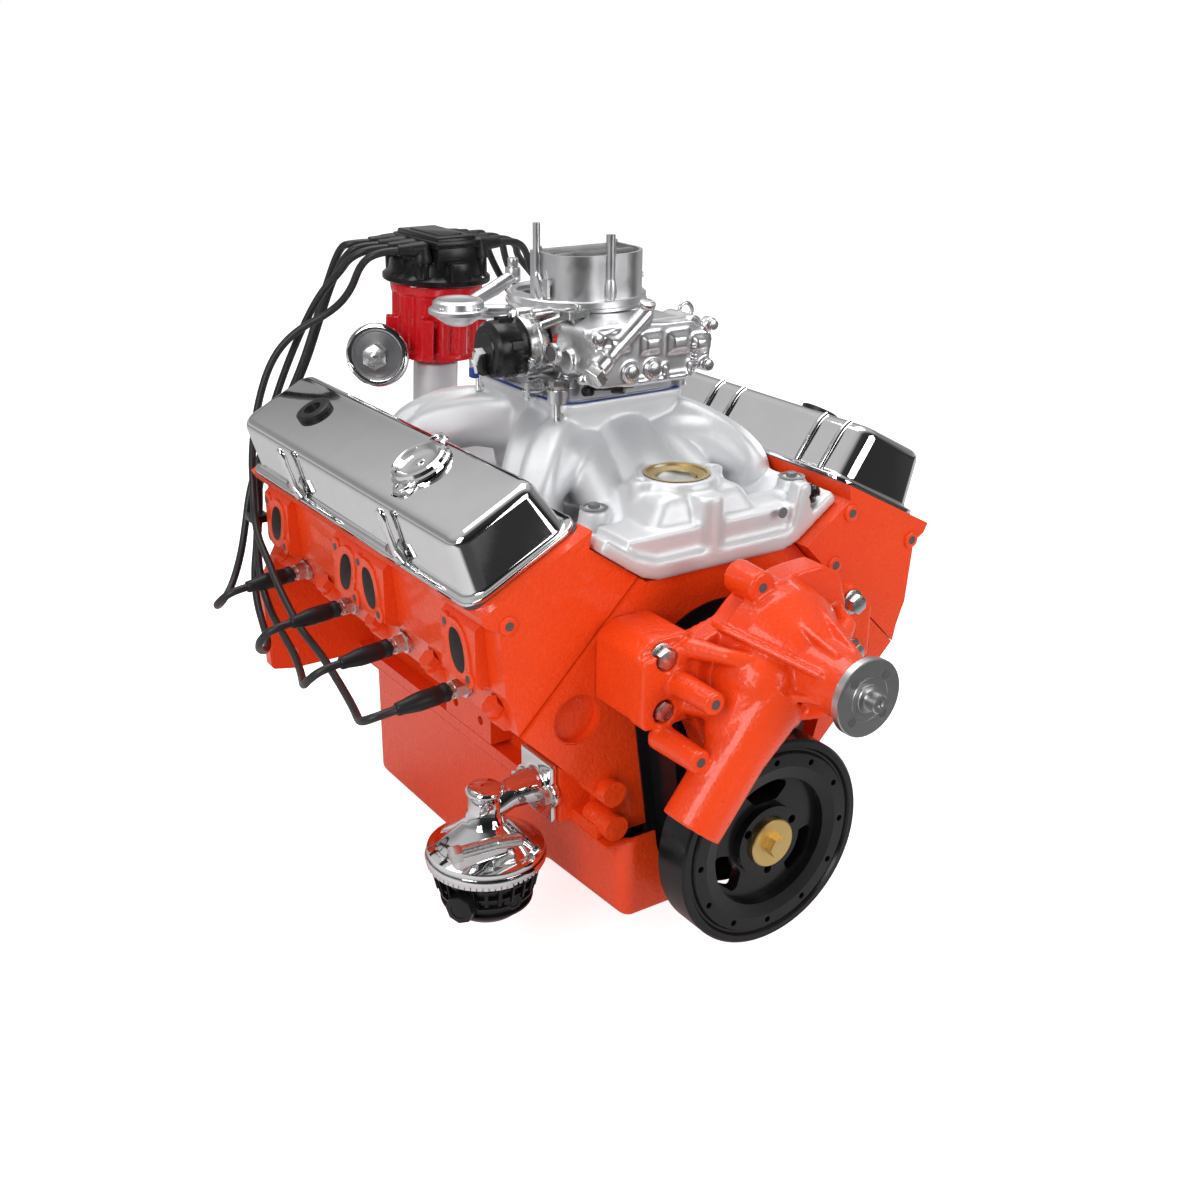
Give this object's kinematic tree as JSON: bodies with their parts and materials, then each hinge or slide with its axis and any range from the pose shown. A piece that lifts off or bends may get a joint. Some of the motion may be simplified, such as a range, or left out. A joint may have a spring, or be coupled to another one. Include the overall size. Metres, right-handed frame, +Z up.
{
  "type": "v8 engine",
  "caption": "Complete carburetted V8 engine with chrome valve covers, aluminium intake, distributor with plug wires, pumps, damper, and a full crank and valve train inside.",
  "frame": {"origin": "crankshaft centre line at the block's rear face", "axes": "+Z up, +Y towards the gearbox along the crankshaft, +X towards the bank with odd cylinders"},
  "size_m": [0.6158, 0.7469, 0.664],
  "materials": {
    "engine_paint": "glossy orange enamel over cast iron and pressed steel",
    "chrome_plate": "polished",
    "cast_aluminium": "fine satin casting",
    "bright_aluminium": "polished casting",
    "machined_steel": "turned",
    "forged_steel": "oiled",
    "zinc_plate": "bright zinc",
    "cast_iron": "bare, as cast",
    "black_paint": "semi-gloss",
    "yellow_zinc": "passivated",
    "brass": "satin",
    "red_anodised": "satin red",
    "black_plastic": "moulded",
    "black_rubber": "moulded",
    "wire_jacket": "smooth",
    "gasket_sheet": "pressed composite",
    "piston_alloy": "machined"
  },
  "bodies": {
    "engine": {"accessory_bolts": "zinc_plate", "breather_grommets": "black_rubber", "carburettor_body": "bright_aluminium", "carburettor_studs": "zinc_plate", "choke_housing": "black_plastic", "connecting_rods": "forged_steel", "core_plugs": "engine_paint", "cover_hold_downs": "chrome_plate", "cylinder_head_left": "engine_paint", "cylinder_head_right": "engine_paint", "distributor_body": "red_anodised", "distributor_cap": "black_plastic", "engine_block": "engine_paint", "fuel_bowl": "bright_aluminium", "fuel_pump_body": "chrome_plate", "fuel_pump_bowl": "black_paint", "gaskets": "gasket_sheet", "head_bolts": "engine_paint", "intake_manifold": "cast_aluminium", "lifters_and_pushrods": "forged_steel", "main_caps": "cast_iron", "oil_pan": "engine_paint", "oil_pump": "cast_iron", "pistons": "piston_alloy", "plug_wire_1": "wire_jacket", "plug_wire_2": "wire_jacket", "plug_wire_3": "wire_jacket", "plug_wire_4": "wire_jacket", "plug_wire_5": "wire_jacket", "plug_wire_6": "wire_jacket", "plug_wire_7": "wire_jacket", "plug_wire_8": "wire_jacket", "rocker_arms": "forged_steel", "rocker_studs": "forged_steel", "secondary_diaphragm": "bright_aluminium", "spark_plugs": "zinc_plate", "thermostat": "brass", "throttle_body": "bright_aluminium", "timing_chain": "forged_steel", "timing_cover": "black_paint", "vacuum_advance": "zinc_plate", "valve_cover_left": "chrome_plate", "valve_cover_right": "chrome_plate", "valve_springs": "forged_steel", "valves": "forged_steel", "water_pump_housing": "engine_paint", "wire_boots": "black_rubber"},
    "crank": {"crankshaft": "forged_steel", "crank_sprocket": "forged_steel", "harmonic_balancer": "black_paint", "crank_bolt": "yellow_zinc"},
    "cam": {"camshaft": "forged_steel", "cam_sprocket": "forged_steel"},
    "distributor": {"distributor_shaft": "forged_steel"},
    "pump_rotor": {"water_pump_rotor": "machined_steel"},
    "primary": {"primary_throttle": "zinc_plate"},
    "secondary": {"secondary_throttle": "zinc_plate"},
    "choke": {"choke_plate": "zinc_plate"},
    "pump_arm": {"fuel_pump_arm": "forged_steel"},
    "filler_cap": {"oil_filler_cap": "chrome_plate"}
  },
  "joints": [
    {"name": "crank_spin", "type": "hinge", "parent": "engine", "child": "crank", "pos_m": [0, 0, 0], "axis": [0, 1, 0], "continuous": true, "deforming": ["connecting_rods"]},
    {"name": "cam_spin", "type": "hinge", "parent": "engine", "child": "cam", "pos_m": [0, 0, 0.1148], "axis": [0, 1, 0], "continuous": true},
    {"name": "distributor_spin", "type": "hinge", "parent": "engine", "child": "distributor", "pos_m": [-0.043, -0.035, 0], "axis": [0.034, -0.0227, 0.9992], "continuous": true},
    {"name": "water_pump_spin", "type": "hinge", "parent": "engine", "child": "pump_rotor", "pos_m": [0, -0.6, 0.1838], "axis": [0, 1, 0], "continuous": true},
    {"name": "primary_throttle_turn", "type": "hinge", "parent": "engine", "child": "primary", "pos_m": [-0.006, -0.303, 0.366], "axis": [1, 0, 0], "range_deg": [0, 75], "stiffness_Nm_per_rad": 0.3, "springref_deg": -17.19},
    {"name": "secondary_throttle_turn", "type": "hinge", "parent": "engine", "child": "secondary", "pos_m": [-0.006, -0.255, 0.366], "axis": [1, 0, 0], "range_deg": [0, 75], "stiffness_Nm_per_rad": 0.3, "springref_deg": -17.19},
    {"name": "choke_turn", "type": "hinge", "parent": "engine", "child": "choke", "pos_m": [-0.006, -0.309, 0.456], "axis": [-1, 0, 0], "range_deg": [0, 75], "stiffness_Nm_per_rad": 0.05, "springref_deg": -22.92},
    {"name": "fuel_pump_arm_rock", "type": "hinge", "parent": "engine", "child": "pump_arm", "pos_m": [-0.171, -0.43, 0.028], "axis": [0, 1, 0], "range_deg": [-3, 3], "stiffness_Nm_per_rad": 8},
    {"name": "filler_cap_twist", "type": "hinge", "parent": "engine", "child": "filler_cap", "pos_m": [-0.20501, -0.339, 0.31762], "axis": [-0.4617, 0, 0.887], "range_deg": [0, 90]}
  ],
  "couplings": [
    {"joint": "cam_spin", "follows": "crank_spin", "ratio": 0.5},
    {"joint": "distributor_spin", "follows": "crank_spin", "ratio": -0.5}
  ]
}
